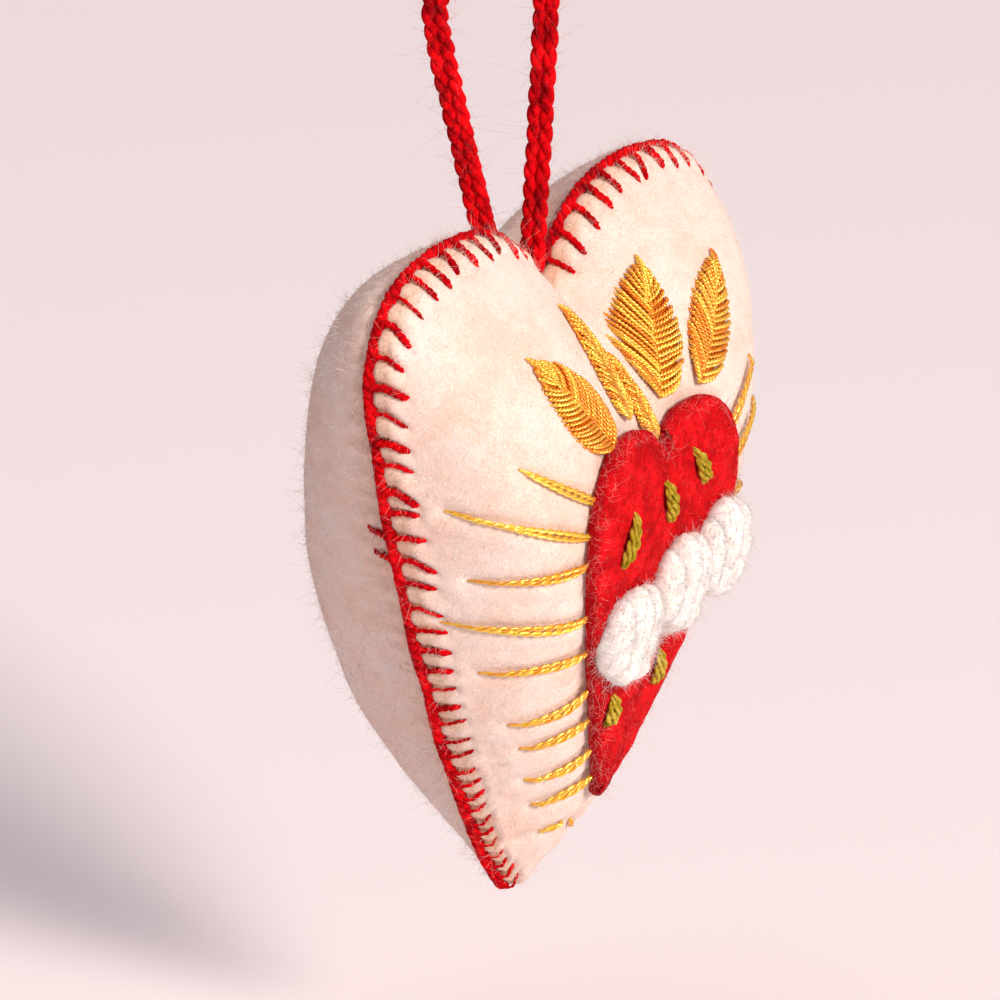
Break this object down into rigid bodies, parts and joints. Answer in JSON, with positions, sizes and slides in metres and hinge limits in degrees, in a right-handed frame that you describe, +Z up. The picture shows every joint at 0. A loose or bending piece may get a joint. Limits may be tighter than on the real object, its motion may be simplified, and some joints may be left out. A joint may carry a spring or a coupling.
{
  "type": "embroidered heart ornament",
  "caption": "Plump stuffed felt heart with a blanket-stitched edge, a small red heart with wool roses, gold leaves and rays, hung by a crocheted loop.",
  "frame": {"origin": "underside of the top of the hanging loop, where a hook, peg or twig carries the ornament", "axes": "+Z up, -Y the embroidered front, +X to the viewer's right"},
  "size_m": [0.0944, 0.0539, 0.1415],
  "materials": {
    "cream_felt": "thick cream wool felt with a fuzzy nap",
    "red_felt": "red wool felt with a fuzzy nap",
    "red_yarn": "twisted red wool yarn",
    "gold_thread": "shiny twisted gold rayon thread",
    "white_yarn": "soft white wool yarn",
    "olive_yarn": "matt olive green wool yarn"
  },
  "bodies": {
    "root": {"felt_front": "cream_felt", "felt_back": "cream_felt", "edge_stitching": "red_yarn", "heart_applique": "red_felt", "gold_leaf_1": "gold_thread", "gold_leaf_2": "gold_thread", "gold_leaf_3": "gold_thread", "gold_leaf_4": "gold_thread", "gold_leaf_5": "gold_thread", "gold_ray_left_1": "gold_thread", "gold_ray_left_2": "gold_thread", "gold_ray_left_3": "gold_thread", "gold_ray_left_4": "gold_thread", "gold_ray_left_5": "gold_thread", "gold_ray_left_6": "gold_thread", "gold_ray_left_7": "gold_thread", "gold_ray_left_8": "gold_thread", "gold_ray_left_9": "gold_thread", "gold_ray_left_10": "gold_thread", "gold_ray_right_1": "gold_thread", "gold_ray_right_2": "gold_thread", "gold_ray_right_3": "gold_thread", "gold_ray_right_4": "gold_thread", "gold_ray_right_5": "gold_thread", "gold_ray_right_6": "gold_thread", "gold_ray_right_7": "gold_thread", "gold_ray_right_8": "gold_thread", "gold_ray_right_9": "gold_thread", "gold_ray_right_10": "gold_thread", "white_rose_1": "white_yarn", "white_rose_2": "white_yarn", "white_rose_3": "white_yarn", "green_leaf_1": "olive_yarn", "green_leaf_2": "olive_yarn", "green_leaf_3": "olive_yarn", "green_leaf_4": "olive_yarn", "green_leaf_5": "olive_yarn", "hanging_cord": "red_yarn"}
  },
  "joints": []
}
